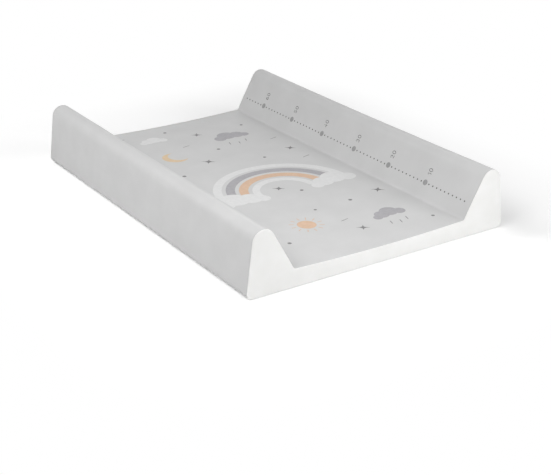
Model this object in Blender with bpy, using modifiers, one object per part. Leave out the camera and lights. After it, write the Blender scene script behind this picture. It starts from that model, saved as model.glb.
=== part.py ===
"""A changing mat with two raised sides: foam on a stiff board, welded into a cover of coated foil.

X runs across the mat, Y along it from the near end to the far end, and Z up. The origin lies under its middle, on
the surface that it rests on.
"""

import math

import bmesh
import bpy
from mathutils import Vector

# The mat's own section: its outer sides are planes that lean inwards, its ridges full rounds
foot_width = 0.502
mat_length = 0.692
mat_height = 0.107
side_lean = math.radians(7.1)
ridge_radius = 0.0196
corner_radius = 0.010

# The trough between the raised sides: two creases, and a lying surface that dips between them
trough_width = 0.3308
crease_height = 0.0307
crease_radius = 0.006
dish_depth = 0.0038

# How far the soft ridges come down and lean inwards halfway along
ridge_sag = 0.0015
ridge_draw = 0.0008

# Foil, board and the gap between pieces that touch
foil_thickness = 0.0008
board_thickness = 0.003
board_setback = 0.004
foam_end_gap = 0.0004
fit_gap = 0.0003
merge_distance = 0.00001

# The end panels turn over the edge and meet the grey sheet there, and the grey sheet turns under the mat
seam_depth = 0.0012
seam_radius = 0.001
hem_width = 0.015

# Air vents in the far end panel
vent_height = 0.045
vent_bore_radius = 0.002
vent_barrel_radius = 0.0025
vent_flange_radius = 0.0048
vent_flange_thickness = 0.0007
vent_lip_radius = 0.0035
vent_lip_thickness = 0.0006
washer_thickness = 0.0005
vent_pocket_depth = 0.003
cutter_overrun = 0.002

# Edges that turn by more than this are creased in the shading, or rounded where a panel turns over
smooth_limit = math.radians(35)
turned_edge_limit = math.radians(60)

# How finely the round forms are divided
corner_steps = 4
ridge_steps = 12
crease_steps = 4
dish_steps = 5
length_steps = 10
seam_steps = 3
plate_corner_steps = 5
vent_steps = 24

# Heights of the layers, from the floor up
body_floor = foil_thickness + fit_gap
board_floor = body_floor + foil_thickness + fit_gap
foam_floor = board_floor + board_thickness + fit_gap
foam_inset = foil_thickness + fit_gap

# How long the grey sheet and the underside are between the end panels, and how far the foam ends inside them
sheet_length = mat_length - 2 * (seam_depth + fit_gap)
foam_setback = foil_thickness + foam_end_gap

QUARTER = math.pi / 2


def on_circle(centre, radius, angle):
    """The point of a circle in the section at that angle."""
    return Vector((centre.x + radius * math.cos(angle), centre.y + radius * math.sin(angle)))


def arc(centre, radius, start, end, steps):
    """Points along an arc in the section, both ends included."""
    return [on_circle(centre, radius, start + (end - start) * i / steps) for i in range(steps + 1)]


def centre_beside_outer_side(radius, height):
    """The centre, at that height, of a circle that touches the right outer side from within."""
    return Vector((foot_width / 2 - height * math.tan(side_lean) - radius / math.cos(side_lean), height))


# The arcs of the right half of the section, as (X, Z) in the plane across the mat. The end panels reach down to the
# floor, and the grey sheet lies over the underside.
corner_centre = centre_beside_outer_side(corner_radius, body_floor + corner_radius)
panel_corner_centre = centre_beside_outer_side(corner_radius, corner_radius)
ridge_centre = centre_beside_outer_side(ridge_radius, mat_height - ridge_radius)
crease = Vector((trough_width / 2, crease_height))
to_ridge = ridge_centre - crease
slope_angle = math.atan2(to_ridge.y, to_ridge.x) + math.asin(ridge_radius / to_ridge.length)
slope_run = Vector((math.cos(slope_angle), math.sin(slope_angle)))
slope_normal = Vector((-slope_run.y, slope_run.x))
dish_radius = (crease.x**2 + dish_depth**2) / (2 * dish_depth)
dish_centre = Vector((0, crease_height - dish_depth + dish_radius))


def crease_fillet_centre():
    """The centre of the arc that joins the slope and the lying surface."""
    start = crease + slope_normal * crease_radius - dish_centre
    along = start.dot(slope_run)
    reach = math.sqrt(along**2 - start.length_squared + (dish_radius - crease_radius) ** 2)
    return dish_centre + start + slope_run * (-along - reach)


crease_centre = crease_fillet_centre()
out_of_dish = crease_centre - dish_centre
dish_edge_angle = math.atan2(out_of_dish.y, out_of_dish.x)


def half_section(low_centre):
    """The cover's right half from its lower corner, round that centre, up over the ridge to the mat's middle."""
    corner = arc(low_centre, corner_radius, -QUARTER, side_lean, corner_steps)
    ridge = arc(ridge_centre, ridge_radius, side_lean, QUARTER + slope_angle, ridge_steps)
    fillet = arc(crease_centre, crease_radius, slope_angle - QUARTER, dish_edge_angle, crease_steps)
    dish = arc(dish_centre, dish_radius, dish_edge_angle, -QUARTER, dish_steps)
    return corner + ridge + fillet + dish[1:]


def panel_section():
    """The closed outline of an end panel, right half first."""
    right = half_section(panel_corner_centre)
    left = [Vector((-p.x, p.y)) for p in reversed(right[:-1])]
    return right + left


def wedge_section():
    """The closed outline of the right foam wedge."""
    low = math.asin((foam_floor - corner_centre.y) / (corner_radius - foam_inset))
    corner = arc(corner_centre, corner_radius - foam_inset, low, side_lean, corner_steps)
    ridge = arc(ridge_centre, ridge_radius - foam_inset, side_lean, QUARTER + slope_angle, ridge_steps)
    inner_x = crease.x + fit_gap / 2
    foot = crease - slope_normal * foam_inset
    foot += slope_run * (inner_x - foot.x) / slope_run.x
    return corner + ridge + [foot, Vector((inner_x, foam_floor))]


def lying_section():
    """The closed outline of the foam pad under the lying surface."""
    edge_x = crease.x - fit_gap / 2
    radius = dish_radius + foam_inset
    edge_angle = -math.acos(edge_x / radius)
    top = arc(dish_centre, radius, edge_angle, -math.pi - edge_angle, 2 * dish_steps)
    return [Vector((-edge_x, foam_floor)), Vector((edge_x, foam_floor))] + top


def settled(point):
    """Where a point of foil or foam lies on the finished mat, whose ridges give a little halfway along."""
    rise = max(0.0, (point.z - crease_height) / (mat_height - crease_height))
    give = rise * math.cos(math.pi * point.y / mat_length)
    return point + Vector((-math.copysign(ridge_draw, point.x) * give, 0, -ridge_sag * give))


def new_collection(name):
    """A collection of that name in the scene."""
    made = bpy.data.collections.new(name)
    bpy.context.scene.collection.children.link(made)
    return made


def new_object(name, data, material=None, collection=None):
    """An object that holds data, in the mat's collection unless another is named."""
    made = bpy.data.objects.new(name, data)
    (collection or mat_collection).objects.link(made)
    if material:
        data.materials.append(material)
    return made


def new_material(name, colour, roughness, metallic=0.0):
    """A plain Principled material."""
    made = bpy.data.materials.new(name)
    made.use_nodes = True
    shader = made.node_tree.nodes["Principled BSDF"]
    shader.inputs["Base Color"].default_value = (*colour, 1)
    shader.inputs["Roughness"].default_value = roughness
    shader.inputs["Metallic"].default_value = metallic
    return made


def drawn_along(outline, length, closed):
    """A mesh of the outline drawn along the mat in even steps, settled, with its ends filled if it is closed."""
    shape = bmesh.new()
    ring = [shape.verts.new((p.x, -length / 2, p.y)) for p in outline]
    edges = [shape.edges.new(pair) for pair in zip(ring, ring[1:] + ring[:1] if closed else ring[1:])]
    if closed:
        shape.faces.new(ring)
    for _ in range(length_steps):
        made = bmesh.ops.extrude_edge_only(shape, edges=edges)["geom"]
        moved = [g for g in made if isinstance(g, bmesh.types.BMVert)]
        edges = [g for g in made if isinstance(g, bmesh.types.BMEdge)]
        bmesh.ops.translate(shape, verts=moved, vec=(0, length / length_steps, 0))
    if closed:
        bmesh.ops.contextual_create(shape, geom=edges)
    for vert in shape.verts:
        vert.co = settled(vert.co)
    bmesh.ops.recalc_face_normals(shape, faces=shape.faces)
    return shape


def to_mesh(shape, name):
    """A mesh of that bmesh, shaded smooth across its gentle edges."""
    mesh = bpy.data.meshes.new(name)
    shape.to_mesh(mesh)
    shape.free()
    mesh.shade_smooth()
    mesh.set_sharp_from_angle(angle=smooth_limit)
    return mesh


def add_solidify(target):
    """Gives an open sheet the foil's thickness, on its inner side."""
    wall = target.modifiers.new("foil", "SOLIDIFY")
    wall.thickness = foil_thickness
    wall.offset = -1
    wall.use_even_offset = True


def add_cut(target, cutter):
    """Cuts a cutter out of a piece."""
    cut = target.modifiers.new(cutter.name, "BOOLEAN")
    cut.operation = "DIFFERENCE"
    cut.solver = "EXACT"
    cut.object = cutter


def make_cutter(name, radius, position, depth):
    """A cylinder along Y about that position, for a hole in the far end."""
    shape = bmesh.new()
    bmesh.ops.create_cone(
        shape, cap_ends=True, segments=vent_steps, radius1=radius, radius2=radius, depth=2 * depth
    )
    cutter = new_object(name, to_mesh(shape, name), collection=cutter_collection)
    cutter.location = position
    cutter.rotation_euler.x = -QUARTER
    cutter.hide_render = True
    cutter.display_type = "WIRE"
    return cutter


def make_plate(name, width, length, floor, thickness, material):
    """A flat sheet or board with rounded corners, as a filled outline of that thickness."""
    curve = bpy.data.curves.new(name, "CURVE")
    curve.dimensions = "2D"
    curve.fill_mode = "BOTH"
    curve.extrude = thickness / 2
    points = []
    for turn, (x_side, y_side) in enumerate(((1, 1), (-1, 1), (-1, -1), (1, -1))):
        centre = Vector((x_side * (width / 2 - corner_radius), y_side * (length / 2 - corner_radius)))
        points += arc(centre, corner_radius, turn * QUARTER, (turn + 1) * QUARTER, plate_corner_steps)
    outline = curve.splines.new("POLY")
    outline.points.add(len(points) - 1)
    outline.use_cyclic_u = True
    for spot, p in zip(outline.points, points):
        spot.co = (p.x, p.y, 0, 1)
    plate = new_object(name, curve, material)
    plate.location.z = floor + thickness / 2


def make_top_cover():
    """The grey sheet: one open half of the section with its hem under the mat, mirrored and made a foil."""
    half = half_section(corner_centre)
    hem = Vector((half[0].x - hem_width, half[0].y))
    shape = drawn_along([hem] + half, sheet_length, closed=False)
    cover = new_object("top_cover", to_mesh(shape, "top_cover"), cover_foil)
    mirror = cover.modifiers.new("other half", "MIRROR")
    mirror.use_axis[0] = True
    mirror.merge_threshold = merge_distance
    add_solidify(cover)


def make_end_panel(name, side):
    """A white U-shaped panel whose edge turns over and runs back to the grey sheet."""
    shape = bmesh.new()
    ring = [shape.verts.new((p.x, side * mat_length / 2, p.y)) for p in panel_section()]
    face = shape.faces.new(ring)
    rim = bmesh.ops.extrude_edge_only(shape, edges=face.edges[:])["geom"]
    back = [g for g in rim if isinstance(g, bmesh.types.BMVert)]
    bmesh.ops.translate(shape, verts=back, vec=(0, -side * seam_depth, 0))
    bmesh.ops.recalc_face_normals(shape, faces=shape.faces)
    if face.normal.y * side < 0:
        bmesh.ops.reverse_faces(shape, faces=shape.faces)
    panel = new_object(name, to_mesh(shape, name), panel_foil)
    rounding = panel.modifiers.new("turned edge", "BEVEL")
    rounding.width = seam_radius
    rounding.segments = seam_steps
    rounding.limit_method = "ANGLE"
    rounding.angle_limit = turned_edge_limit
    add_solidify(panel)
    return panel


def make_foam(name, outline):
    """A foam piece of that section, as long as the inside of the end panels allows."""
    shape = drawn_along(outline, mat_length - 2 * foam_setback, closed=True)
    return new_object(name, to_mesh(shape, name), foam)


def vent_position(side):
    """Where a vent's axis meets the outer face of the far end panel, in the middle of the wedge's width."""
    outer_x = foot_width / 2 - vent_height * math.tan(side_lean)
    inner_x = crease.x + (vent_height - crease.y) / math.tan(slope_angle)
    return Vector((side * (outer_x + inner_x) / 2, mat_length / 2, vent_height))


def make_turned(name, profile, position, material):
    """A ring turned about the vent's axis. The profile holds (radius, height out of the panel's face)."""
    shape = bmesh.new()
    ring = [shape.verts.new((radius, 0, height)) for radius, height in profile]
    for pair in zip(ring, ring[1:] + ring[:1]):
        shape.edges.new(pair)
    turned = new_object(name, to_mesh(shape, name), material)
    turned.location = position
    turned.rotation_euler.x = -QUARTER
    screw = turned.modifiers.new("turned", "SCREW")
    screw.steps = vent_steps
    screw.render_steps = vent_steps
    screw.use_merge_vertices = True
    screw.merge_threshold = merge_distance
    screw.use_smooth_shade = True


def make_vent(side_name, side, panel, wedge):
    """An eyelet through the far end panel, the washer behind it, and the room for both."""
    position = vent_position(side)
    washer_top = -foil_thickness - fit_gap
    washer_bottom = washer_top - washer_thickness
    lip_top = washer_bottom - fit_gap
    lip_bottom = lip_top - vent_lip_thickness
    face = fit_gap + vent_flange_thickness
    make_turned(
        side_name + "_vent_eyelet",
        [
            (vent_barrel_radius, face),
            (vent_flange_radius, face - vent_flange_thickness / 2),
            (vent_flange_radius, fit_gap),
            (vent_barrel_radius, fit_gap),
            (vent_barrel_radius, lip_top),
            (vent_lip_radius, lip_top),
            (vent_lip_radius, lip_bottom),
            (vent_bore_radius, lip_bottom),
            (vent_bore_radius, face - vent_flange_thickness / 2),
        ],
        position,
        eyelet_metal,
    )
    make_turned(
        side_name + "_vent_washer",
        [
            (vent_flange_radius, washer_top),
            (vent_flange_radius, washer_bottom),
            (vent_barrel_radius + fit_gap, washer_bottom),
            (vent_barrel_radius + fit_gap, washer_top),
        ],
        position,
        eyelet_metal,
    )
    hole = make_cutter(side_name + "_vent_hole", vent_barrel_radius + fit_gap, position, cutter_overrun)
    add_cut(panel, hole)
    foam_end = position - Vector((0, foam_setback, 0))
    pocket_radius = vent_flange_radius + fit_gap
    pocket = make_cutter(side_name + "_vent_pocket", pocket_radius, foam_end, vent_pocket_depth)
    add_cut(wedge, pocket)


for old in list(bpy.data.objects):
    bpy.data.objects.remove(old)
mat_collection = new_collection("changing_mat")
cutter_collection = new_collection("cutters")

cover_foil = new_material("printed grey coated foil", (0.58, 0.58, 0.58), 0.45)
panel_foil = new_material("white coated foil", (0.88, 0.88, 0.86), 0.45)
foam = new_material("cut polyurethane foam", (0.85, 0.82, 0.68), 0.9)
hardboard = new_material("hardboard", (0.28, 0.17, 0.09), 0.7)
eyelet_metal = new_material("nickel-plated steel", (0.66, 0.64, 0.60), 0.3, metallic=1.0)

underside_width = 2 * corner_centre.x
make_plate("bottom_cover", underside_width, sheet_length, 0, foil_thickness, panel_foil)
board_length = mat_length - 2 * board_setback
make_plate("base_board", underside_width, board_length, board_floor, board_thickness, hardboard)
make_foam("lying_foam", lying_section())
right_wedge = make_foam("right_wedge_foam", wedge_section())
left_wedge = make_foam("left_wedge_foam", [Vector((-p.x, p.y)) for p in wedge_section()])
make_top_cover()
make_end_panel("front_end_panel", -1)
rear_panel = make_end_panel("rear_end_panel", 1)
make_vent("right", 1, rear_panel, right_wedge)
make_vent("left", -1, rear_panel, left_wedge)
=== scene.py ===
"""The changing mat dressed for a photograph: printed grey foil over foam, white end panels and a stiff base.

X runs across the mat, Y along it from the near end to the far end, and Z up. Lengths are in metres.
"""

import math
from bisect import bisect_left

import bmesh
import bpy
from mathutils import Matrix, Vector, noise
from mathutils.geometry import delaunay_2d_cdt


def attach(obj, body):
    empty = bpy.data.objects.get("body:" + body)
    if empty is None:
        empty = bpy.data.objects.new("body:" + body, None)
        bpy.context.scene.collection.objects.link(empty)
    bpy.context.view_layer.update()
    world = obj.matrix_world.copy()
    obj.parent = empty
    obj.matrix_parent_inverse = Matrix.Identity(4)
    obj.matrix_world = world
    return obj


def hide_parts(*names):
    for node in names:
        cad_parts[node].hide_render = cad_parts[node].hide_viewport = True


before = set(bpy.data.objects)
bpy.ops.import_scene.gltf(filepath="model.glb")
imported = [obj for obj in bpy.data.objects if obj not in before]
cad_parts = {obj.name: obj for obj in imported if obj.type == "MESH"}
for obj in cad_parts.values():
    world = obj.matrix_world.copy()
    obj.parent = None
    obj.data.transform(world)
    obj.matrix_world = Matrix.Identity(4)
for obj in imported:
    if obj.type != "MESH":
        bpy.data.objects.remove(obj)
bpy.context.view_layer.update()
bpy.ops.object.select_all(action="DESELECT")

MM = 0.001
TINY = 1e-6
QUARTER = math.pi / 2
BODY = "root"

# The section, with the values that the solids have
foot_width = 0.502
mat_length = 0.692
mat_height = 0.107
side_lean = math.radians(7.1)
ridge_radius = 0.0196
corner_radius = 0.010
trough_width = 0.3308
crease_height = 0.0307
dish_depth = 0.0038
ridge_sag = 0.0015
ridge_draw = 0.0008
foil_thickness = 0.0008
foam_end_gap = 0.0004
fit_gap = 0.0003
body_floor = foil_thickness + fit_gap
foam_floor = 0.0055
foam_inset = foil_thickness + fit_gap
hem_width = 0.015
seam_depth = 0.0012
seam_radius = 0.001

# How far apart the points of the foil's mesh lie: round the section, along the mat, and in rows beside a seam
dish_spacing = 3.5 * MM
crease_spacing = 1.1 * MM
slope_spacing = 4 * MM
ridge_spacing = 1.3 * MM
outer_side_spacing = 7 * MM
corner_spacing = 1.5 * MM
hem_spacing = 5 * MM
underside_spacing = 10 * MM
row_spacing = 9 * MM
seam_rows = (0.0, 0.0004, 0.0008, 0.0014, 0.0026, 0.0045, 0.0075, 0.012, 0.018, 0.025)
even_rows_start = 0.033

# The soft foil between its seams: long waves over the foam, which die out towards the seams and the floor,
# and short uneven puckers where it is welded. A scale counts the noise's steps to the metre. A seed picks it.
wave_height = 0.00035
wave_scale = 8.0
wave_seed = 3.7
wave_reach = 0.06
wave_floor = 0.012
wave_floor_reach = 0.02
pucker_height = 0.00010
pucker_length = 0.014
pucker_reach = 0.022
pucker_seam_reach = 0.003
pucker_scale = 30
pucker_seed = 1.3
pucker_end_seed = 5
seam_dip = 0.00025
seam_dip_reach = 0.0010

# The end panels swell softly over the foam, but not at their rim nor round a vent
pillow_height = 0.0006
pillow_reach = 0.013
pillow_vent_reach = 0.012
pillow_share = 0.8
pillow_uneven_share = 0.5
pillow_scale = 22
pillow_end_seed = 4
panel_spacing = 6 * MM
panel_margin = 0.004
panel_rim_margin = 0.0028
panel_rim_steps = 5

# The foil rounds the crease more than the solids do, by 9 mm and not 6, and the slope's foot gives a little
# outwards. Between the ends the foil is drawn down into the crease, less so towards the near end, and the
# slopes are slightly hollow.
crease_radius = 0.009
foot_give = 0.0012
foot_give_reach = 0.014
crease_fall = 0.0020
crease_fall_reach = 0.013
crease_near_reach = 0.003
crease_held_near = 0.50
crease_held_far = 0.05
slope_hollow = 0.0012
slope_held = 0.08

# The air vents in the far end panel
vent_height = 0.045
vent_hole_radius = 0.0028
vent_pressed_radius = 0.006
vent_margin = 0.003
vent_sides = 24
vent_cut_share = 0.98

# The underside's weld: a line pressed into the foil a little way in from its edge
weld_edge = 4 * MM
weld_ramp = 0.8 * MM
weld_width = 2 * MM
weld_depth = 0.3 * MM

# The foam pads: their clearances below the foil and above the floor, their points, and their worn edges
lying_pad_gap = 0.4 * MM
wedge_foot_gap = 4 * MM
wedge_low_gap = 0.5 * MM
wedge_side_gap = 0.8 * MM
pad_row_spacing = 14 * MM
pad_top_spacing = 5 * MM
pad_floor_spacing = 30 * MM
pad_worn_edge = 1.5 * MM

# The ruler on the right slope, which reads from the near end
ruler_rise = 0.02895
ruler_start = 0.01658
ruler_marks = 67
ruler_tens = 6
centimetre = 0.01
ten_centimetres = 0.1
round_radius = 0.0052
round_rise = 0.0005
dot_radius = 0.00145
figure_height = 0.0082
figure_width = 0.0053
figure_gap = 0.0028
figure_one_less = 0.0017
figure_offset = 0.0145
figure_shift = -0.0007
figure_stroke = 0.00115
figure_box_width = 0.6
bow_step = 15

# Ink lies as a thin film, and an ink printed over another lies on it. Shapes to print start as slabs.
ink_depth = 0.00003
ink_height = 0.00006
slab_depth = 0.002
disc_rim_share = 0.1
band_spacing = 5 * MM

# The nursery motifs. A cloud's lobes each have a place, a height and a radius, and the moon is a round with a
# smaller one cut out of it: the shares are of the motif's size.
cloud_lobe_shares = ((-0.36, 0.17, 0.17), (-0.10, 0.30, 0.26), (0.18, 0.23, 0.21), (0.38, 0.13, 0.13))
cloud_spacing = 10 * MM
moon_bite_share = 0.84
moon_shift_share = 0.42
moon_spacing = 9 * MM
sun_radius = 0.016
sun_spacing = 8 * MM
sun_ray_start = 0.0215
sun_ray_end = 0.0285
sun_ray_stroke = 1.6 * MM
sparkle_width_share = 0.8
drop_run = (-0.003, -0.010)
dash_half_run = 0.007
dash_climb = 0.003
dash_stroke = 1.4 * MM

# The floor lies just below the mat. Its glow lightens the shadow, which fades out between two distances.
floor_size = 30
floor_gap = 0.0005
floor_glow = 0.16
shadow_reach = (0.02, 0.30)
ambient_strength = 0.05

# The photograph's camera, fitted to the mat's own edges
camera_position = (-1.08431, -1.67244, 0.80158)
camera_azimuth = math.radians(-33.681)
camera_elevation = math.radians(24.055)
camera_roll = math.radians(0.214)
camera_lens = 78.92
camera_sensor = 36


def make_camera():
    """The camera at the photograph's place, turned by its azimuth, elevation and roll."""
    data = bpy.data.cameras.new("photo_camera")
    data.lens = camera_lens
    data.sensor_width = camera_sensor
    data.clip_end = 50
    camera = bpy.data.objects.new("photo_camera", data)
    bpy.context.scene.collection.objects.link(camera)
    flat = math.cos(camera_elevation)
    back = Vector(
        (
            math.sin(camera_azimuth) * flat,
            -math.cos(camera_azimuth) * flat,
            math.sin(camera_elevation),
        )
    )
    level = Vector((math.cos(camera_azimuth), math.sin(camera_azimuth), 0))
    upright = back.cross(level)
    right = level * math.cos(camera_roll) + upright * math.sin(camera_roll)
    up = back.cross(right)
    turned = Matrix((right, up, back)).transposed().to_4x4()
    camera.matrix_world = Matrix.Translation(camera_position) @ turned
    bpy.context.scene.camera = camera


make_camera()


# The foil's section, from the middle of the mat outwards


def centre_beside_outer_side(radius, height):
    """The centre, at that height, of a circle that touches the right outer side from within."""
    reach = foot_width / 2 - height * math.tan(side_lean) - radius / math.cos(side_lean)
    return Vector((reach, height))


corner_centre = centre_beside_outer_side(corner_radius, body_floor + corner_radius)
panel_corner_centre = centre_beside_outer_side(corner_radius, corner_radius)
ridge_centre = centre_beside_outer_side(ridge_radius, mat_height - ridge_radius)
crease = Vector((trough_width / 2, crease_height))
to_ridge = ridge_centre - crease
slope_angle = math.atan2(to_ridge.y, to_ridge.x) + math.asin(ridge_radius / to_ridge.length)
slope_run = Vector((math.cos(slope_angle), math.sin(slope_angle)))
slope_normal = Vector((-slope_run.y, slope_run.x))
dish_radius = (crease.x**2 + dish_depth**2) / (2 * dish_depth)
dish_centre = Vector((0, crease_height - dish_depth + dish_radius))


def crease_fillet_centre():
    """The centre of the arc that joins the slope and the lying surface."""
    start = crease + slope_normal * crease_radius - dish_centre
    along = start.dot(slope_run)
    reach = math.sqrt(along**2 - start.length_squared + (dish_radius - crease_radius) ** 2)
    return dish_centre + start + slope_run * (-along - reach)


crease_centre = crease_fillet_centre()
out_of_dish = crease_centre - dish_centre
dish_edge_angle = math.atan2(out_of_dish.y, out_of_dish.x)


def arc_points(centre, radius, start, end, spacing, facing):
    """Points of an arc and their normals, which face away from its centre, or with -1 towards it."""
    steps = max(2, math.ceil(radius * abs(end - start) / spacing))
    made = []
    for step in range(steps + 1):
        angle = start + (end - start) * step / steps
        direction = Vector((math.cos(angle), math.sin(angle)))
        made.append((centre + direction * radius, direction * facing))
    return made


def straight_points(start, end, spacing):
    """Points between two others along a straight, with the normal that both ends have."""
    steps = max(2, math.ceil((end[0] - start[0]).length / spacing))
    return [(start[0].lerp(end[0], i / steps), start[1]) for i in range(1, steps)]


def distances(points):
    """How far along the foil each point of the section lies from the first."""
    made = [0.0]
    for before, after in zip(points, points[1:]):
        made.append(made[-1] + (after[0] - before[0]).length)
    return made


crease_across = dish_radius * (dish_edge_angle + QUARTER)
crease_across += crease_radius * (slope_angle - QUARTER - dish_edge_angle) / 2


def fading(beyond, lying_reach, slope_reach):
    """A share that is 1 in the crease and fades out to both sides. beyond is the way from it up the slope."""
    return math.exp(beyond / lying_reach) if beyond < 0 else math.exp(-beyond / slope_reach)


def half_section(low_centre):
    """Points and normals from the middle of the mat to the end of its lower corner, round that centre."""
    dish = arc_points(dish_centre, dish_radius, -QUARTER, dish_edge_angle, dish_spacing, -1)
    fillet = arc_points(
        crease_centre, crease_radius, dish_edge_angle, slope_angle - QUARTER, crease_spacing, -1
    )
    ridge = arc_points(ridge_centre, ridge_radius, QUARTER + slope_angle, side_lean, ridge_spacing, 1)
    corner = arc_points(low_centre, corner_radius, side_lean, -QUARTER, corner_spacing, 1)
    plain = dish + fillet[1:] + straight_points(fillet[-1], ridge[0], slope_spacing)
    outer_side = straight_points(ridge[-1], corner[0], outer_side_spacing)
    given = []
    for (point, normal), along in zip(plain, distances(plain)):
        give = foot_give * fading(along - crease_across, crease_near_reach, foot_give_reach)
        given.append((point - normal * give, normal))
    return given + ridge + outer_side + corner


section = half_section(corner_centre)
hem_end = (section[-1][0] - Vector((hem_width, 0)), section[-1][1])
section += straight_points(section[-1], hem_end, hem_spacing) + [hem_end]
section_distances = distances(section)
half_width = section_distances[-1]


def on_section(across):
    """The point and normal of the section at a distance across the flat foil, to the right of its middle."""
    side = math.copysign(1, across)
    reach = min(abs(across), half_width)
    after = max(1, min(bisect_left(section_distances, reach), len(section_distances) - 1))
    share = (reach - section_distances[after - 1]) / (
        section_distances[after] - section_distances[after - 1]
    )
    point = section[after - 1][0].lerp(section[after][0], share)
    normal = section[after - 1][1].lerp(section[after][1], share).normalized()
    return Vector((side * point.x, point.y)), Vector((side * normal.x, normal.y))


def eased(value):
    """A smooth step from 0 to 1."""
    value = min(max(value, 0.0), 1.0)
    return value * value * (3 - 2 * value)


sheet_end = mat_length / 2 - seam_depth - fit_gap


def crease_fall_at(across, along):
    """How deep the foil is drawn down near the crease there."""
    held = eased((sheet_end + along) / crease_held_near) * eased((sheet_end - along) / crease_held_far)
    return crease_fall * held * fading(abs(across) - crease_across, crease_fall_reach, crease_near_reach)


slope_length = math.sqrt(to_ridge.length_squared - ridge_radius**2)


def slope_hollow_at(across, along):
    """How deep a slope is hollowed there, between the crease and the ridge."""
    up = min(max((abs(across) - crease_across) / slope_length, 0.0), 1.0)
    return slope_hollow * 4 * up * (1 - up) * eased((sheet_end - abs(along)) / slope_held)


def softness(across, along):
    """How far the foil stands out of its plain section, between its welded ends."""
    inward = sheet_end - abs(along)
    free = eased(inward / wave_reach)
    above = eased((on_section(across)[0].y - wave_floor) / wave_floor_reach)
    spot = Vector((across * wave_scale, along * wave_scale, wave_seed))
    waves = wave_height * noise.noise(spot) * free * above
    fade = max(0.0, 1 - max(inward, 0) / pucker_reach) ** 2 * eased(inward / pucker_seam_reach)
    spot = Vector((across * pucker_scale, math.copysign(pucker_end_seed, along), pucker_seed))
    uneven = (1 + noise.noise(spot)) / 2
    puckers = pucker_height * uneven * math.sin(2 * math.pi * across / pucker_length) * fade * above
    dip = seam_dip * (1 - eased(inward / seam_dip_reach))
    return waves + puckers - dip - crease_fall_at(across, along) - slope_hollow_at(across, along)


def on_foil(across, along, lift=0.0):
    """A point of the finished foil, lifted off it along its normal."""
    point, normal = on_section(across)
    stand = softness(across, along) + lift
    x = point.x + normal.x * stand
    z = point.y + normal.y * stand
    rise = max(0.0, (z - crease_height) / (mat_height - crease_height))
    give = rise * math.cos(math.pi * along / mat_length)
    return Vector((x - math.copysign(ridge_draw, x) * give, along, z - ridge_sag * give))


# Making and finishing pieces


def select_only(*pieces):
    """Selects those pieces and nothing else. The first is the active one."""
    bpy.ops.object.select_all(action="DESELECT")
    for piece in pieces:
        piece.select_set(True)
    bpy.context.view_layer.objects.active = pieces[0]


def edit(piece):
    """Opens one piece for editing with all of it selected."""
    select_only(piece)
    bpy.ops.object.mode_set(mode="EDIT")
    bpy.ops.mesh.select_mode(type="VERT")
    bpy.ops.mesh.select_all(action="SELECT")


def leave_edit():
    """Closes the piece that is open for editing."""
    bpy.ops.object.mode_set(mode="OBJECT")


def finish_piece(piece, material, smooth=35):
    """Gives a piece its material, shades it smooth below that many degrees, and lets it ride."""
    select_only(piece)
    bpy.ops.object.transform_apply(location=True, rotation=True, scale=True)
    bpy.ops.object.shade_smooth_by_angle(angle=math.radians(smooth))
    piece.data.materials.clear()
    piece.data.materials.append(material)
    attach(piece, BODY)
    piece.select_set(False)
    return piece


def piece_of(shape, name):
    """An object of that mesh."""
    mesh = bpy.data.meshes.new(name)
    shape.to_mesh(mesh)
    shape.free()
    piece = bpy.data.objects.new(name, mesh)
    bpy.context.scene.collection.objects.link(piece)
    return piece


def add_foil_wall(piece):
    """Gives an open sheet the foil's thickness on its inner side."""
    wall = piece.modifiers.new("foil", "SOLIDIFY")
    wall.thickness = foil_thickness
    wall.offset = -1
    wall.use_even_offset = True


def even_steps(low, high, spacing):
    """Values from low to high about that far apart."""
    steps = max(1, round((high - low) / spacing))
    return [low + (high - low) * i / steps for i in range(steps + 1)]


def turns(count):
    """The angles of that many even steps round a circle."""
    return [2 * math.pi * i / count for i in range(count)]


def join_rings(shape, rings):
    """Closes the band of faces between each ring of vertices and the next."""
    for before, after in zip(rings, rings[1:]):
        for i in range(len(before)):
            j = (i + 1) % len(before)
            shape.faces.new((before[i], before[j], after[j], after[i]))


# Colours and materials


def colour(code):
    """An sRGB hex colour as the linear colour that a shader takes."""
    channels = [int(code[i : i + 2], 16) / 255 for i in (1, 3, 5)]
    linear = [c / 12.92 if c <= 0.04045 else ((c + 0.055) / 1.055) ** 2.4 for c in channels]
    return (*linear, 1)


def add_node(tree, kind, settings=None, inputs=None, links=None):
    """Adds a node, sets its properties and input values, and links its inputs to (node, output) pairs."""
    node = tree.nodes.new(kind)
    for key, value in (settings or {}).items():
        setattr(node, key, value)
    for key, value in (inputs or {}).items():
        node.inputs[key].default_value = value
    for key, (source, output) in (links or {}).items():
        tree.links.new(source.outputs[output], node.inputs[key])
    return node


def new_material(name, values):
    """A Principled material with those values, and its node tree and shader."""
    made = bpy.data.materials.new(name)
    made.use_nodes = True
    shader = made.node_tree.nodes["Principled BSDF"]
    for key, value in values.items():
        shader.inputs[key].default_value = value
    return made, made.node_tree, shader


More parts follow.
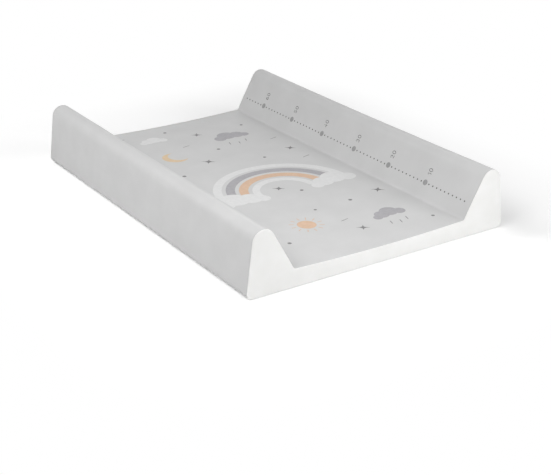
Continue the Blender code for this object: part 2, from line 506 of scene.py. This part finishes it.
def mottled(name, dark, light, values, patch, grain, rough, relief, coordinate="UV"):
    """A coated or printed surface: close colours in soft patches, an uneven gloss and a fine embossed grain.

    patch is the patches' size and grain the grain's, both in metres. rough is the least and the greatest
    roughness, and relief the height of the patches' swell and of the grain.
    """
    made, tree, shader = new_material(name, values)
    place = add_node(tree, "ShaderNodeTexCoord")
    patches = add_node(
        tree,
        "ShaderNodeTexNoise",
        inputs={"Scale": 1 / patch, "Detail": 3.0, "Roughness": 0.55},
        links={"Vector": (place, coordinate)},
    )
    grains = add_node(
        tree,
        "ShaderNodeTexNoise",
        inputs={"Scale": 1 / grain, "Detail": 2.0, "Roughness": 0.5},
        links={"Vector": (place, coordinate)},
    )
    ramp = add_node(tree, "ShaderNodeValToRGB", links={"Fac": (patches, "Fac")})
    ramp.color_ramp.elements[0].position = 0.35
    ramp.color_ramp.elements[0].color = colour(dark)
    ramp.color_ramp.elements[1].position = 0.68
    ramp.color_ramp.elements[1].color = colour(light)
    gloss = add_node(
        tree,
        "ShaderNodeMapRange",
        inputs={"From Min": 0.3, "From Max": 0.7, "To Min": rough[0], "To Max": rough[1]},
        links={"Value": (grains, "Fac")},
    )
    swell = add_node(
        tree,
        "ShaderNodeBump",
        inputs={"Strength": 1.0, "Distance": relief[0]},
        links={"Height": (patches, "Fac")},
    )
    emboss = add_node(
        tree,
        "ShaderNodeBump",
        inputs={"Strength": 1.0, "Distance": relief[1]},
        links={"Height": (grains, "Fac"), "Normal": (swell, "Normal")},
    )
    tree.links.new(ramp.outputs["Color"], shader.inputs["Base Color"])
    tree.links.new(gloss.outputs["Result"], shader.inputs["Roughness"])
    tree.links.new(emboss.outputs["Normal"], shader.inputs["Normal"])
    return made


# Calendered PVC foil, embossed while warm: satin, with broad soft reflections and hardly any grain.
# The grain is drawn at 1.6 mm, four times the real one, so that it shows at all.
grey_foil = mottled(
    "satin PVC foil, pale grey",
    "#c9c9c9",
    "#cdcdcd",
    {"IOR": 1.53, "Specular IOR Level": 0.2},
    patch=55 * MM,
    grain=1.6 * MM,
    rough=(0.40, 0.50),
    relief=(0.25 * MM, 0.010 * MM),
)

# The same foil in white: it shows the swell of the foam behind it more than any grain
white_foil = mottled(
    "satin PVC foil, white",
    "#f0f0ee",
    "#f4f4f3",
    {"IOR": 1.53},
    patch=35 * MM,
    grain=1.6 * MM,
    rough=(0.38, 0.48),
    relief=(0.30 * MM, 0.012 * MM),
    coordinate="Object",
)


def printing_ink(name, dark, light):
    """Rotogravure ink on the foil: nearly as satin as the foil, and a little uneven where it lies thin."""
    return mottled(
        name,
        dark,
        light,
        {"IOR": 1.50},
        patch=6 * MM,
        grain=1.2 * MM,
        rough=(0.42, 0.54),
        relief=(0.01 * MM, 0.006 * MM),
        coordinate="Object",
    )


light_ink = printing_ink("printing ink, soft white", "#d6d6d6", "#dcdcdc")
mauve_ink = printing_ink("printing ink, mauve grey", "#9b999d", "#a4a2a6")
peach_ink = printing_ink("printing ink, peach", "#ccaa8e", "#d4b396")
sand_ink = printing_ink("printing ink, sand", "#d0b794", "#d8bf9a")
graphite_ink = printing_ink("printing ink, graphite", "#6c6b6c", "#787778")
ruler_round_ink = printing_ink("printing ink, ruler round", "#8c8c8c", "#969696")
ruler_ink = printing_ink("printing ink, ruler number", "#525252", "#5c5c5c")
ruler_dot_ink = printing_ink("printing ink, ruler dot", "#444444", "#4e4e4e")

# Cut polyurethane foam: dull, cream, and open-celled, its cells drawn at 2 mm
cut_foam = mottled(
    "cut polyurethane foam",
    "#e6dcb8",
    "#f0e8cc",
    {"IOR": 1.45},
    patch=20 * MM,
    grain=2 * MM,
    rough=(0.85, 0.95),
    relief=(0.2 * MM, 0.5 * MM),
    coordinate="Object",
)

# Hardboard: pressed brown fibres, smooth and slightly waxy on the face
hardboard = mottled(
    "pressed hardboard",
    "#6f4e35",
    "#8a6444",
    {"IOR": 1.50},
    patch=12 * MM,
    grain=1.5 * MM,
    rough=(0.55, 0.70),
    relief=(0.05 * MM, 0.05 * MM),
    coordinate="Object",
)

# Nickel-plated steel, tumbled bright: a warm grey mirror with fine scuffs
nickel = mottled(
    "nickel-plated steel",
    "#b8b3aa",
    "#c6c2ba",
    {"Metallic": 1.0},
    patch=3 * MM,
    grain=0.6 * MM,
    rough=(0.22, 0.34),
    relief=(0.01 * MM, 0.005 * MM),
    coordinate="Object",
)


# The grey sheet


def make_top_sheet():
    """The printed sheet: one flat cut, laid from hem to hem over the ridges and through the trough."""
    right = section_distances
    columns = [-d for d in reversed(right[1:])] + right
    middle_rows = even_steps(-sheet_end + even_rows_start, sheet_end - even_rows_start, row_spacing)
    rows = [d - sheet_end for d in seam_rows] + middle_rows + [sheet_end - d for d in reversed(seam_rows)]
    shape = bmesh.new()
    flat = shape.loops.layers.uv.new("flat")
    grid = [[shape.verts.new(on_foil(across, along)) for across in columns] for along in rows]
    for row in range(len(rows) - 1):
        for column in range(len(columns) - 1):
            corners = [(row, column), (row, column + 1), (row + 1, column + 1), (row + 1, column)]
            face = shape.faces.new([grid[r][c] for r, c in corners])
            for loop, (r, c) in zip(face.loops, corners):
                loop[flat].uv = (columns[c] + half_width, rows[r] + sheet_end)
    sheet = piece_of(shape, "top_sheet")
    add_foil_wall(sheet)
    finish_piece(sheet, grey_foil, smooth=40)
    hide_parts("top_cover")
    return sheet


# The white end panels


def closed_section():
    """Points and normals round an end panel, right half first, along the underside and back."""
    outline = half_section(panel_corner_centre)
    low = outline[-1]
    across = straight_points(low, (Vector((-low[0].x, low[0].y)), low[1]), underside_spacing)
    left = [(Vector((-p.x, p.y)), Vector((-n.x, n.y))) for p, n in reversed(outline[1:])]
    return outline + across + left


def placed(spot, along):
    """A point of the section at that place along the mat."""
    return Vector((spot.x, along, spot.y))


def ring_round(centre, radius):
    """The points of a ring round a vent."""
    return [centre + Vector((math.cos(a), math.sin(a))) * radius for a in turns(vent_sides)]


def distance_to(spot, ring):
    """How far a spot lies from a closed ring of points."""
    nearest = math.inf
    for start, end in zip(ring, ring[1:] + ring[:1]):
        run = end - start
        share = min(max((spot - start).dot(run) / run.length_squared, 0), 1)
        nearest = min(nearest, (start + run * share - spot).length)
    return nearest


def inside(spot, ring):
    """Whether a spot lies within a closed ring of points."""
    crossings = 0
    for start, end in zip(ring, ring[1:] + ring[:1]):
        if (start.y > spot.y) != (end.y > spot.y):
            where = start.x + (spot.y - start.y) * (end.x - start.x) / (end.y - start.y)
            crossings += where > spot.x
    return crossings % 2 == 1


outer_x = foot_width / 2 - vent_height * math.tan(side_lean)
inner_x = crease.x + (vent_height - crease.y) / math.tan(slope_angle)
vent_spots = [Vector((side * (outer_x + inner_x) / 2, vent_height)) for side in (-1, 1)]


def make_end_panel(name, side, vents, replaced):
    """A white panel with a rounded turned edge, a soft swell over the foam, and holes for its vents."""
    outline = closed_section()
    end = mat_length / 2
    rings = [(seam_dip, end - seam_depth), (0, end - seam_radius)]
    for step in range(1, panel_rim_steps + 1):
        angle = QUARTER * step / panel_rim_steps
        rings.append((seam_radius * (1 - math.cos(angle)), end - seam_radius * (1 - math.sin(angle))))
    shape = bmesh.new()
    loops = []
    for inset, out in rings:
        loops.append([shape.verts.new(placed(p - n * inset, side * out)) for p, n in outline])
    join_rings(shape, loops)
    rim = [p - n * seam_radius for p, n in outline]
    spots = list(rim)
    edges = [(i, (i + 1) % len(rim)) for i in range(len(rim))]
    for vent in vents:
        first = len(spots)
        spots += ring_round(vent, vent_hole_radius) + ring_round(vent, vent_pressed_radius)
        edges += [(first + i, first + (i + 1) % vent_sides) for i in range(vent_sides)]
    for z in even_steps(panel_margin, mat_height - panel_margin, panel_spacing):
        for x in even_steps(-foot_width / 2, foot_width / 2, panel_spacing):
            spot = Vector((x, z))
            clear = all((spot - vent).length > vent_pressed_radius + vent_margin for vent in vents)
            if clear and inside(spot, rim) and distance_to(spot, rim) > panel_rim_margin:
                spots.append(spot)
    filled = delaunay_2d_cdt(spots, edges, [], 1, TINY)
    corners = []
    for spot, origin in zip(filled[0], filled[3]):
        if origin and origin[0] < len(rim):
            corners.append(loops[-1][origin[0]])
            continue
        swell = eased(distance_to(spot, rim) / pillow_reach)
        for vent in vents:
            swell *= eased(((spot - vent).length - vent_pressed_radius) / pillow_vent_reach)
        where = Vector((spot.x * pillow_scale, spot.y * pillow_scale, side * pillow_end_seed))
        swell *= pillow_share + pillow_uneven_share * noise.noise(where)
        corners.append(shape.verts.new(placed(spot, side * (end + pillow_height * swell))))
    for face in filled[2]:
        middle = sum((filled[0][i] for i in face), Vector((0, 0))) / len(face)
        if all((middle - vent).length > vent_hole_radius * vent_cut_share for vent in vents):
            shape.faces.new([corners[i] for i in face])
    bmesh.ops.recalc_face_normals(shape, faces=shape.faces)
    sample = max(shape.faces, key=lambda f: side * f.calc_center_median().y)
    if sample.normal.y * side < 0:
        bmesh.ops.reverse_faces(shape, faces=shape.faces)
    panel = piece_of(shape, name)
    add_foil_wall(panel)
    finish_piece(panel, white_foil, smooth=50)
    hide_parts(replaced)
    return panel


# The underside and the foam pads


def make_underside():
    """The white foil under the mat, with rounded corners and the sunken line of its weld."""
    width = 2 * corner_centre.x
    length = 2 * sheet_end
    bpy.ops.mesh.primitive_plane_add(size=1)
    sheet = bpy.context.active_object
    sheet.name = "underside_sheet"
    sheet.scale = (width, length, 1)
    bpy.ops.object.transform_apply(scale=True)
    edit(sheet)
    bpy.ops.mesh.bevel(affect="VERTICES", offset=corner_radius, segments=6)
    bpy.ops.mesh.select_mode(type="FACE")
    bpy.ops.mesh.select_all(action="SELECT")
    steps = ((weld_edge, 0), (weld_ramp, weld_depth), (weld_width, 0), (weld_ramp, -weld_depth))
    for thickness, depth in steps:
        bpy.ops.mesh.inset(thickness=thickness, depth=depth)
    bpy.ops.mesh.select_all(action="SELECT")
    bpy.ops.mesh.flip_normals()
    leave_edit()
    add_foil_wall(sheet)
    finish_piece(sheet, white_foil, smooth=50)
    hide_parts("bottom_cover")
    return sheet


def make_pad(name, ring_at, replaced):
    """A foam pad: its outline at even places along the mat, closed at both ends, its edges a little worn."""
    end = mat_length / 2 - foil_thickness - foam_end_gap
    shape = bmesh.new()
    places = even_steps(-end, end, pad_row_spacing)
    rings = [[shape.verts.new(p) for p in ring_at(along)] for along in places]
    join_rings(shape, rings)
    shape.faces.new(rings[0])
    shape.faces.new(rings[-1])
    bmesh.ops.recalc_face_normals(shape, faces=shape.faces)
    pad = piece_of(shape, name)
    worn = pad.modifiers.new("worn edges", "BEVEL")
    worn.width = pad_worn_edge
    worn.segments = 2
    worn.angle_limit = math.radians(50)
    finish_piece(pad, cut_foam)
    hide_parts(replaced)
    return pad


def lying_ring(along):
    """The lying pad's outline there: flat below, dished above."""
    edge = crease.x - fit_gap / 2
    reach = dish_radius + foam_inset + lying_pad_gap
    top = []
    for x in even_steps(-edge, edge, pad_top_spacing):
        fall = crease_fall_at(x, along)
        fall += foot_give * fading(abs(x) - edge, crease_near_reach, foot_give_reach)
        top.append(Vector((x, along, dish_centre.y - math.sqrt(reach**2 - x**2) - fall)))
    floor_row = [Vector((-x, along, foam_floor)) for x in even_steps(-edge, edge, pad_floor_spacing)]
    return top + floor_row


slope_start = next(d for (p, n), d in zip(section, section_distances) if (n - slope_normal).length < TINY)


def wedge_ring(side):
    """A function that gives one wedge's outline at a place along the mat."""
    inner_side = crease.x + fit_gap / 2
    foot = crease - slope_normal * (foam_inset + foot_give + crease_fall)
    foot += slope_run * (inner_side - foot.x) / slope_run.x
    columns = [
        d
        for (p, n), d in zip(section, section_distances)
        if d > slope_start + wedge_foot_gap and p.y > foam_floor + wedge_low_gap
    ]

    def ring(along):
        over = [on_foil(side * d, along, -foam_inset) for d in columns]
        low = Vector((over[-1].x - side * wedge_side_gap, along, foam_floor))
        inner = Vector((side * inner_side, along, foam_floor))
        return [Vector((side * foot.x, along, foot.y))] + over + [low, inner]

    return ring


# The print: shapes modelled flat in the plane of the uncut foil, then laid on it as films of ink


def lay_ink(parts, name, material, level=0):
    """Joins flat parts and lays them on the foil as a film of ink, or over another film at a higher level."""
    select_only(*parts)
    if len(parts) > 1:
        bpy.ops.object.join()
    film = bpy.context.view_layer.objects.active
    film.name = name
    film.data.name = name
    bpy.ops.object.transform_apply(location=True, rotation=True, scale=True)
    half = max(abs(v.co.z) for v in film.data.vertices)
    for vertex in film.data.vertices:
        share = (vertex.co.z / half + 1) / 2
        lift = level * ink_height - ink_depth + share * (ink_height + ink_depth)
        vertex.co = on_foil(vertex.co.x, vertex.co.y, lift)
    edit(film)
    bpy.ops.mesh.remove_doubles(threshold=TINY)
    bpy.ops.mesh.normals_make_consistent(inside=False)
    leave_edit()
    return finish_piece(film, material, smooth=60)


def print_disc(across, along, radius, sides):
    """A flat round with a bevelled rim."""
    bpy.ops.mesh.primitive_circle_add(
        vertices=sides, radius=radius, fill_type="NGON", location=(across, along, -slab_depth / 2)
    )
    disc = bpy.context.active_object
    edit(disc)
    bpy.ops.mesh.select_mode(type="FACE")
    bpy.ops.mesh.extrude_region_move(TRANSFORM_OT_translate={"value": (0, 0, slab_depth / 2)})
    bpy.ops.mesh.inset(thickness=radius * disc_rim_share, depth=slab_depth / 2)
    leave_edit()
    bpy.ops.object.transform_apply(location=True)
    return disc


def cut_in_squares(part, spacing):
    """Cuts a flat part into squares, so that it can follow the foil."""
    edit(part)
    corners = [v.co for v in part.data.vertices]
    for axis in (0, 1):
        low = min(c[axis] for c in corners)
        high = max(c[axis] for c in corners)
        for place in even_steps(low, high, spacing)[1:-1]:
            bpy.ops.mesh.select_all(action="SELECT")
            where = [0, 0, 0]
            facing = [0, 0, 0]
            where[axis] = place
            facing[axis] = 1
            bpy.ops.mesh.bisect(plane_co=where, plane_no=facing)
    leave_edit()
    return part


def print_band(across, along, inner, outer, start=0.0, sweep=math.pi):
    """A flat band round a centre, turned from a start angle through a sweep."""
    middle = (inner + outer) / 2
    where = (across + middle * math.cos(start), along + middle * math.sin(start), 0)
    bpy.ops.mesh.primitive_plane_add(size=1, location=where, rotation=(QUARTER, 0, start))
    band = bpy.context.active_object
    band.scale = (outer - inner, slab_depth, 1)
    bpy.ops.object.transform_apply(location=True, rotation=True, scale=True)
    edit(band)
    steps = max(8, round(middle * sweep / band_spacing))
    bpy.ops.mesh.spin(steps=steps, angle=-sweep, center=(across, along, 0), axis=(0, 0, 1))
    leave_edit()
    return band


def apply_boolean(part, other, operation):
    """Unites a part with another or cuts it, and removes the other."""
    cut = part.modifiers.new("cut", "BOOLEAN")
    cut.operation = operation
    cut.solver = "EXACT"
    cut.object = other
    select_only(part)
    bpy.ops.object.modifier_apply(modifier=cut.name)
    bpy.data.objects.remove(other)
    return part


def print_slab(across, along, radius, sides, depth=slab_depth):
    """A flat round with a sharp rim, to unite with others or to cut them."""
    bpy.ops.mesh.primitive_cylinder_add(
        vertices=sides, radius=radius, depth=depth, location=(across, along, 0)
    )
    bpy.ops.object.transform_apply(location=True)
    return bpy.context.active_object


def print_cloud(across, along, size, facing=1):
    """A flat cloud of four lobes on a level base. With facing -1 it is turned left for right."""
    cloud = None
    for place, height, radius in cloud_lobe_shares:
        lobe = print_slab(across + facing * place * size, along + height * size, radius * size, sides=40)
        cloud = apply_boolean(cloud, lobe, "UNION") if cloud else lobe
    bpy.ops.mesh.primitive_cube_add(size=1, location=(across, along - size / 2, 0))
    base = bpy.context.active_object
    base.scale = (2 * size, size, 2 * slab_depth)
    bpy.ops.object.transform_apply(location=True, scale=True)
    cloud = apply_boolean(cloud, base, "DIFFERENCE")
    return cut_in_squares(cloud, cloud_spacing)


def print_crescent(across, along, radius, turn):
    """A flat crescent moon, open towards an angle."""
    shift = moon_shift_share * radius
    moon = print_slab(across, along, radius, sides=56)
    bite_place = (across + shift * math.cos(turn), along + shift * math.sin(turn))
    bite = print_slab(*bite_place, radius * moon_bite_share, sides=56, depth=2 * slab_depth)
    return cut_in_squares(apply_boolean(moon, bite, "DIFFERENCE"), moon_spacing)


def print_sparkle(across, along, radius, turn):
    """A flat twinkle with four hollow-sided points, drawn in from a round and turned by some degrees."""
    sparkle = print_disc(0, 0, radius, sides=32)
    for vertex in sparkle.data.vertices:
        angle = math.atan2(vertex.co.y, vertex.co.x)
        reach = (abs(math.cos(angle)) ** 0.5 + abs(math.sin(angle)) ** 0.5) ** -2
        vertex.co.x *= reach * sparkle_width_share
        vertex.co.y *= reach
    sparkle.location = (across, along, 0)
    sparkle.rotation_euler = (0, 0, math.radians(turn))
    return sparkle


def print_strokes(name, paths, width):
    """Drawn lines of one width with round ends. A path is its points and whether it closes."""
    curve = bpy.data.curves.new(name, "CURVE")
    curve.dimensions = "3D"
    curve.twist_mode = "Z_UP"
    curve.bevel_depth = width / 2
    curve.bevel_resolution = 1
    curve.use_fill_caps = True
    for points, closed in paths:
        spots = [(Vector(p), 1.0) for p in points]
        if not closed:
            first = (spots[0][0] - spots[1][0]).normalized() * width / 2
            last = (spots[-1][0] - spots[-2][0]).normalized() * width / 2
            for turn in (math.radians(40), math.radians(80)):
                spots.insert(0, (Vector(points[0]) + first * math.sin(turn), math.cos(turn)))
                spots.append((Vector(points[-1]) + last * math.sin(turn), math.cos(turn)))
        line = curve.splines.new("POLY")
        line.points.add(len(spots) - 1)
        line.use_cyclic_u = closed
        for point, (spot, share) in zip(line.points, spots):
            point.co = (spot.x, spot.y, 0, 1)
            point.radius = share
    drawn = bpy.data.objects.new(name, curve)
    bpy.context.scene.collection.objects.link(drawn)
    select_only(drawn)
    bpy.ops.object.convert(target="MESH")
    return bpy.context.active_object


def bow(x, y, radius, start, end, stretch=1.0):
    """Points along a bow of a figure, its angles in degrees, anticlockwise from the right."""
    steps = max(4, round(abs(end - start) / bow_step))
    angles = [math.radians(start + (end - start) * i / steps) for i in range(steps + 1)]
    return [(x + radius * math.cos(a), y + radius * stretch * math.sin(a)) for a in angles]


# Each figure's strokes, drawn in a box one high and figure_box_width wide, which then gets the figures' size.
# A stroke is its points and whether it closes.
figures = {
    "0": [(bow(0.31, 0.5, 0.29, 0, 345, stretch=1.66), True)],
    "1": [([(0.10, 0.80), (0.36, 0.98), (0.36, 0.02)], False)],
    "2": [(bow(0.30, 0.71, 0.26, 165, -38) + [(0.06, 0.03), (0.59, 0.03)], False)],
    "3": [(bow(0.29, 0.74, 0.235, 150, -90) + bow(0.29, 0.27, 0.255, 80, -150), False)],
    "4": [([(0.45, 0.02), (0.45, 0.97), (0.04, 0.30), (0.60, 0.30)], False)],
    "5": [([(0.54, 0.97), (0.15, 0.97), (0.10, 0.58)] + bow(0.29, 0.33, 0.27, 120, -145), False)],
    "6": [(bow(0.31, 0.29, 0.265, 0, 345), True), (bow(0.62, 0.36, 0.575, 183, 115, stretch=1.08), False)],
}


def figure_paths(words, across, along):
    """The strokes of a number that starts at that place and reads up the slope."""
    made = []
    for place, figure in enumerate(words):
        start = across + place * (figure_width + figure_gap)
        if place and words[0] == "1":
            start -= figure_one_less
        for points, closed in figures[figure]:
            path = []
            for x, y in points:
                rise = start + x * figure_width / figure_box_width
                path.append((rise, along + (y - 0.5) * figure_height, 0))
            made.append((path, closed))
    return made


def repeat_along(part, count, spacing):
    """Repeats a part along the mat."""
    array = part.modifiers.new("repeat", "ARRAY")
    array.use_relative_offset = False
    array.use_constant_offset = True
    array.constant_offset_displace = (0, spacing, 0)
    array.count = count
    select_only(part)
    bpy.ops.object.modifier_apply(modifier=array.name)
    return part


def make_ruler():
    """The ruler printed up the right slope: a dot each centimetre, and a round and a number each ten."""
    slope_foot = next(p for (p, n), d in zip(section, section_distances) if d == slope_start)
    line = slope_start + ruler_rise - (slope_foot - crease).dot(slope_run)
    zero = ruler_start - mat_length / 2
    first_round = print_disc(line + round_rise, zero + ten_centimetres, round_radius, sides=28)
    rounds = repeat_along(first_round, ruler_tens, ten_centimetres)
    lay_ink([rounds], "ruler_rounds", ruler_round_ink)
    dots = []
    for ten in range(0, ruler_marks, 10):
        first = ten + 1 if ten else 0
        last = min(ten + 9, ruler_marks - 1)
        dot = print_disc(line, zero + first * centimetre, dot_radius, sides=12)
        dots.append(repeat_along(dot, last - first + 1, centimetre))
    lay_ink(dots, "ruler_dots", ruler_dot_ink)
    paths = []
    for ten in range(1, ruler_tens + 1):
        place = zero + ten * ten_centimetres + figure_shift
        paths += figure_paths(str(ten * 10), line + figure_offset, place)
    lay_ink([print_strokes("ruler_figures", paths, figure_stroke)], "ruler_figures", ruler_ink)


def make_nursery_print():
    """A plain nursery design: a rainbow between clouds, a sun, a moon and a sprinkle of small marks.

    Each motif's place, across and along the mat, comes first, and then its size.
    """
    arch = (0.006, -0.072)
    light_bands = [print_band(*arch, inner, outer) for inner, outer in ((0.113, 0.128), (0.047, 0.060))]
    lay_ink(light_bands, "rainbow_light_bands", light_ink)
    lay_ink([print_band(*arch, 0.090, 0.106)], "rainbow_mauve_band", mauve_ink)
    lay_ink([print_band(*arch, 0.067, 0.083)], "rainbow_peach_band", peach_ink)
    feet = [print_cloud(-0.086, -0.094, 0.098), print_cloud(0.098, -0.094, 0.090, facing=-1)]
    lay_ink(feet, "rainbow_clouds", light_ink, level=1)
    small_clouds = [print_cloud(0.072, 0.205, 0.070), print_cloud(0.086, -0.262, 0.062, facing=-1)]
    lay_ink(small_clouds, "small_clouds", mauve_ink)
    lay_ink([print_cloud(-0.070, 0.262, 0.056, facing=-1)], "far_cloud", light_ink)
    lay_ink([print_crescent(-0.078, 0.172, 0.024, math.radians(20))], "moon", sand_ink)
    sun = Vector((-0.052, -0.214, 0))
    lay_ink([cut_in_squares(print_disc(sun.x, sun.y, sun_radius, sides=48), sun_spacing)], "sun", peach_ink)
    rays = []
    for angle in turns(12):
        ray = Vector((math.cos(angle), math.sin(angle), 0))
        rays.append(([sun + ray * sun_ray_start, sun + ray * sun_ray_end], False))
    lay_ink([print_strokes("sun_rays", rays, sun_ray_stroke)], "sun_rays", peach_ink)
    sparkle_spots = (
        (-0.002, -0.058, 0.012, 55),
        (-0.036, 0.122, 0.014, 56),
        (0.128, 0.098, 0.012, 50),
        (0.020, 0.262, 0.012, 62),
        (-0.128, 0.232, 0.011, 54),
        (0.018, -0.272, 0.012, 58),
        (0.135, -0.160, 0.013, 48),
        (-0.128, -0.150, 0.012, 60),
    )
    lay_ink([print_sparkle(*spot) for spot in sparkle_spots], "sparkles", graphite_ink)
    dot_spots = (
        (0.027, -0.086, 0.0032),
        (-0.132, 0.035, 0.0026),
        (-0.112, 0.078, 0.0036),
        (0.062, 0.085, 0.0030),
        (0.014, 0.170, 0.0034),
        (0.122, 0.262, 0.0030),
        (-0.026, 0.306, 0.0032),
        (0.070, -0.168, 0.0034),
        (-0.004, -0.170, 0.0026),
        (-0.118, -0.262, 0.0034),
        (0.140, -0.300, 0.0030),
    )
    lay_ink([print_disc(*spot, sides=20) for spot in dot_spots], "small_dots", graphite_ink)
    drop_spots = (
        (0.050, 0.190),
        (0.068, 0.184),
        (0.086, 0.190),
        (0.070, -0.276),
        (0.086, -0.281),
        (0.102, -0.276),
    )
    dash_spots = (
        (-0.030, 0.214),
        (0.132, 0.160),
        (-0.120, 0.306),
        (0.128, 0.044),
        (0.012, -0.232),
    )
    strokes = []
    for across, along in drop_spots:
        strokes.append(([(across, along, 0), (across + drop_run[0], along + drop_run[1], 0)], False))
    for across, along in dash_spots:
        start = (across - dash_half_run, along, 0)
        strokes.append(([start, (across + dash_half_run, along + dash_climb, 0)], False))
    lay_ink([print_strokes("short_dashes", strokes, dash_stroke)], "short_dashes", graphite_ink)


top_sheet = make_top_sheet()
front_panel = make_end_panel("front_panel", -1, [], "front_end_panel")
rear_panel = make_end_panel("rear_panel", 1, vent_spots, "rear_end_panel")
underside_sheet = make_underside()
make_pad("lying_pad", lying_ring, "lying_foam")
make_pad("left_wedge_pad", wedge_ring(-1), "left_wedge_foam")
make_pad("right_wedge_pad", wedge_ring(1), "right_wedge_foam")
make_ruler()
make_nursery_print()


def dress_node(name, material):
    """Gives a CAD node that stays in view its real finish."""
    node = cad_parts[name]
    node.data.materials.clear()
    node.data.materials.append(material)


dress_node("base_board", hardboard)
for vent_piece in ("left_vent_eyelet", "right_vent_eyelet", "left_vent_washer", "right_vent_washer"):
    dress_node(vent_piece, nickel)


# The floor, the lights and the world


def seen_directly(tree):
    """1 for what the camera sees, straight, mirrored or through glass, and 0 for what lights the scene."""
    path = add_node(tree, "ShaderNodeLightPath")
    mirrored = add_node(
        tree,
        "ShaderNodeMath",
        {"operation": "MAXIMUM"},
        links={0: (path, "Is Camera Ray"), 1: (path, "Is Glossy Ray")},
    )
    return add_node(
        tree,
        "ShaderNodeMath",
        {"operation": "MAXIMUM"},
        links={0: (mirrored, 0), 1: (path, "Is Transmission Ray")},
    )


def make_floor():
    """A plain pale floor. The camera sees it white, with the mat's shadow, which fades out further off."""
    made, tree, shader = new_material("matt white floor", {"Roughness": 0.9})
    shader.inputs["Base Color"].default_value = colour("#f2f2f2")
    place = add_node(tree, "ShaderNodeTexCoord")
    folded = add_node(
        tree, "ShaderNodeVectorMath", {"operation": "ABSOLUTE"}, links={0: (place, "Object")}
    )
    beyond = add_node(
        tree,
        "ShaderNodeVectorMath",
        {"operation": "SUBTRACT"},
        inputs={1: (foot_width / 2, mat_length / 2, 0)},
        links={0: (folded, 0)},
    )
    outside = add_node(
        tree,
        "ShaderNodeVectorMath",
        {"operation": "MAXIMUM"},
        inputs={1: (0, 0, 0)},
        links={0: (beyond, 0)},
    )
    away = add_node(tree, "ShaderNodeVectorMath", {"operation": "LENGTH"}, links={0: (outside, 0)})
    faded = add_node(
        tree,
        "ShaderNodeMapRange",
        {"interpolation_type": "SMOOTHSTEP"},
        inputs={"From Min": shadow_reach[0], "From Max": shadow_reach[1], "To Min": 0.0, "To Max": 1.0},
        links={"Value": (away, "Value")},
    )
    lit = add_node(tree, "ShaderNodeBsdfDiffuse", inputs={"Color": colour("#ffffff")})
    glow = add_node(tree, "ShaderNodeEmission", inputs={"Color": colour("#ffffff"), "Strength": floor_glow})
    near = add_node(tree, "ShaderNodeAddShader", links={0: (lit, 0), 1: (glow, 0)})
    white = add_node(tree, "ShaderNodeEmission", inputs={"Color": colour("#ffffff"), "Strength": 1.0})
    shown = add_node(
        tree, "ShaderNodeMixShader", links={0: (faded, "Result"), 1: (near, 0), 2: (white, 0)}
    )
    chosen = add_node(
        tree, "ShaderNodeMixShader", links={0: (seen_directly(tree), 0), 1: (shader, 0), 2: (shown, 0)}
    )
    tree.links.new(chosen.outputs[0], tree.nodes["Material Output"].inputs["Surface"])
    bpy.ops.mesh.primitive_plane_add(size=floor_size, location=(0, 0, -floor_gap))
    floor = bpy.context.active_object
    floor.name = "floor"
    floor.data.materials.append(made)


make_floor()


def add_softbox(name, place, target, size, power):
    """A square area light that faces a target."""
    data = bpy.data.lights.new(name, "AREA")
    data.size = size
    data.energy = power
    light = bpy.data.objects.new(name, data)
    bpy.context.scene.collection.objects.link(light)
    light.location = place
    aim = Vector(target) - Vector(place)
    light.rotation_euler = aim.to_track_quat("-Z", "Y").to_euler()


# Three big softboxes round the mat, and four smaller ones over its left and near parts, which the photograph
# shows a little lighter. Each has its place, the point that it faces, its size, and its power in watts.
mat_middle = (0, 0, 0.03)
add_softbox("front_softbox", (1.13, -1.95, 0.82), mat_middle, 1.2, 22.4)
add_softbox("back_right_softbox", (1.20, 1.20, 1.70), mat_middle, 1.2, 8.5)
add_softbox("back_left_softbox", (-1.20, 1.20, 1.70), mat_middle, 1.2, 22.0)
add_softbox("left_softbox", (-1.0, -0.6, 0.8), (-0.2, -0.2, 0), 0.6, 4.1)
add_softbox("left_panel_lamp", (-0.7, 0.2, 0.7), (-0.2, 0.05, 0.05), 0.5, 1.55)
add_softbox("near_left_panel_lamp", (-0.25, -0.35, 0.5), (-0.15, -0.25, 0.05), 0.4, 0.46)
add_softbox("near_panel_lamp", (0.1, -0.6, 0.5), (0.05, -0.3, 0.03), 0.4, 0.77)

# The world lights the mat a little from all round, and is white where it is seen
world = bpy.data.worlds.new("studio")
bpy.context.scene.world = world
world.use_nodes = True
world_tree = world.node_tree
world_tree.nodes.clear()
ambient = add_node(
    world_tree, "ShaderNodeBackground", inputs={"Color": colour("#ffffff"), "Strength": ambient_strength}
)
backdrop = add_node(
    world_tree, "ShaderNodeBackground", inputs={"Color": colour("#ffffff"), "Strength": 1.0}
)
chosen = add_node(
    world_tree,
    "ShaderNodeMixShader",
    links={0: (seen_directly(world_tree), 0), 1: (ambient, 0), 2: (backdrop, 0)},
)
add_node(world_tree, "ShaderNodeOutputWorld", links={"Surface": (chosen, 0)})

bpy.context.scene.view_settings.view_transform = "Standard"
